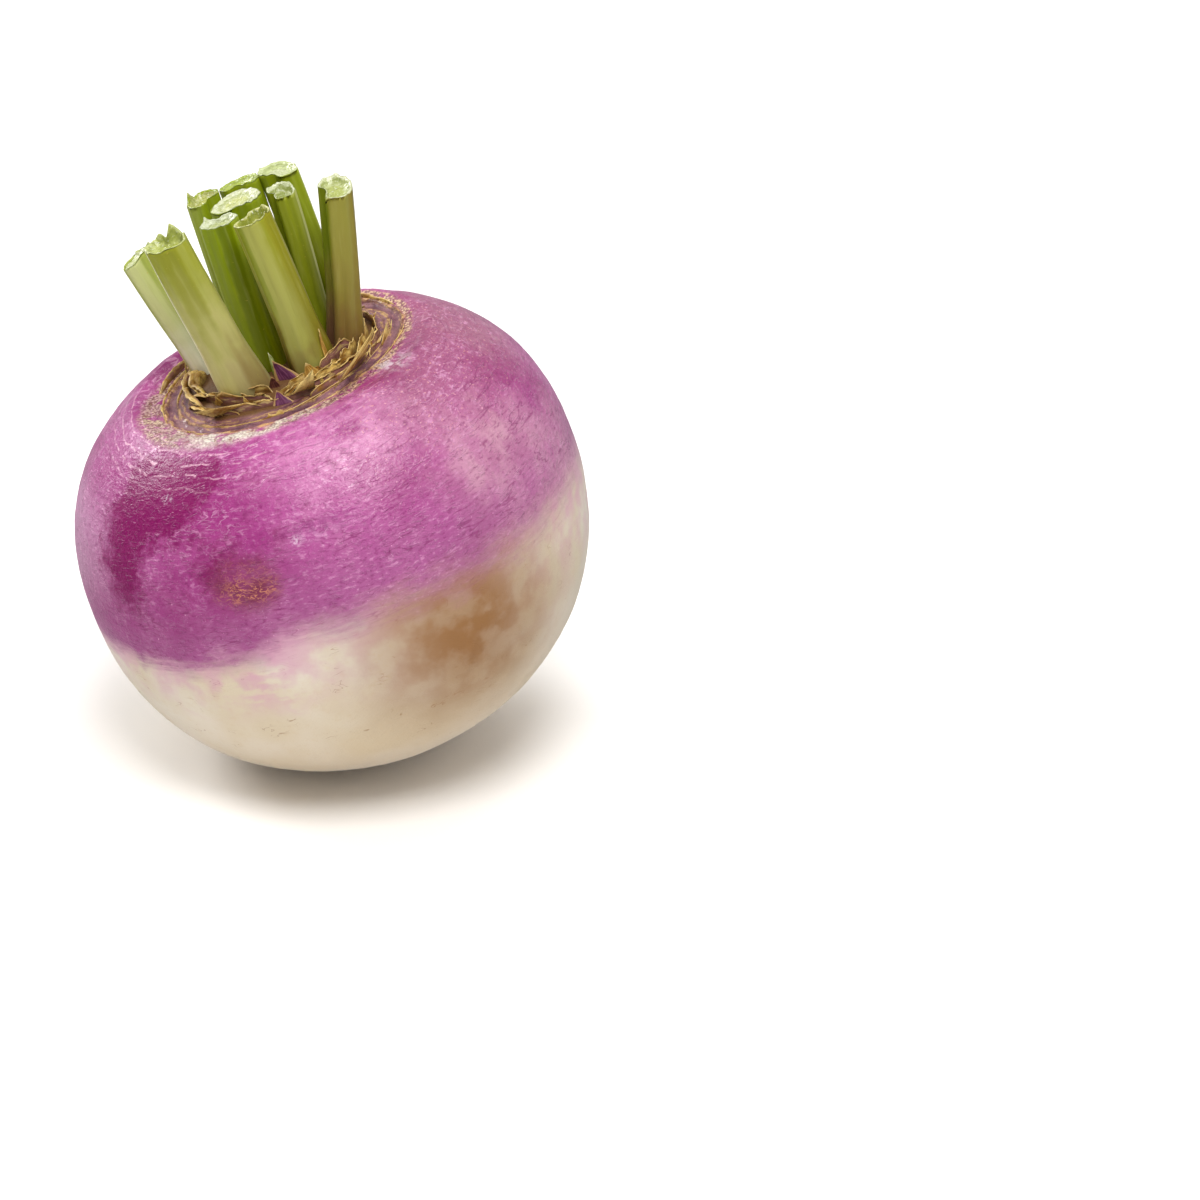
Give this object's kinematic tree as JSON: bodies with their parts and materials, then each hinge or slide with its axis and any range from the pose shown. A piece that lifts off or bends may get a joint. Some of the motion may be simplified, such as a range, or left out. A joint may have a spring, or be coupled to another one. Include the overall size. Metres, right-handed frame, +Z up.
{
  "type": "turnip",
  "caption": "Whole purple-top turnip with its leaves trimmed to short stalks, leaning as it lies on a table.",
  "frame": {"origin": "middle of the small flat spot on the underside that the bulb rests on", "axes": "+Z up from the table, -Y towards the viewer's side, and the crown with its stalks leans towards -X"},
  "size_m": [0.0863, 0.0858, 0.1034],
  "materials": {
    "skin": "smooth waxy root skin, purple above and cream below",
    "stalk": "smooth fresh green leaf stalk with a pale wet cut end",
    "bud_scale": "thin fleshy purple scale with a dry tan edge",
    "dry_scale": "dry papery brown leaf-base scales"
  },
  "bodies": {
    "root": {"bulb": "skin", "stalk_left": "stalk", "stalk_front_left": "stalk", "stalk_front_middle": "stalk", "stalk_right": "stalk", "stalk_inner_front": "stalk", "stalk_middle": "stalk", "stalk_inner_left": "stalk", "stalk_inner_right": "stalk", "stalk_back_right": "stalk", "stalk_back": "stalk", "bud_scale_front": "bud_scale", "bud_scale_right": "bud_scale", "scale_ring": "dry_scale"}
  },
  "joints": []
}
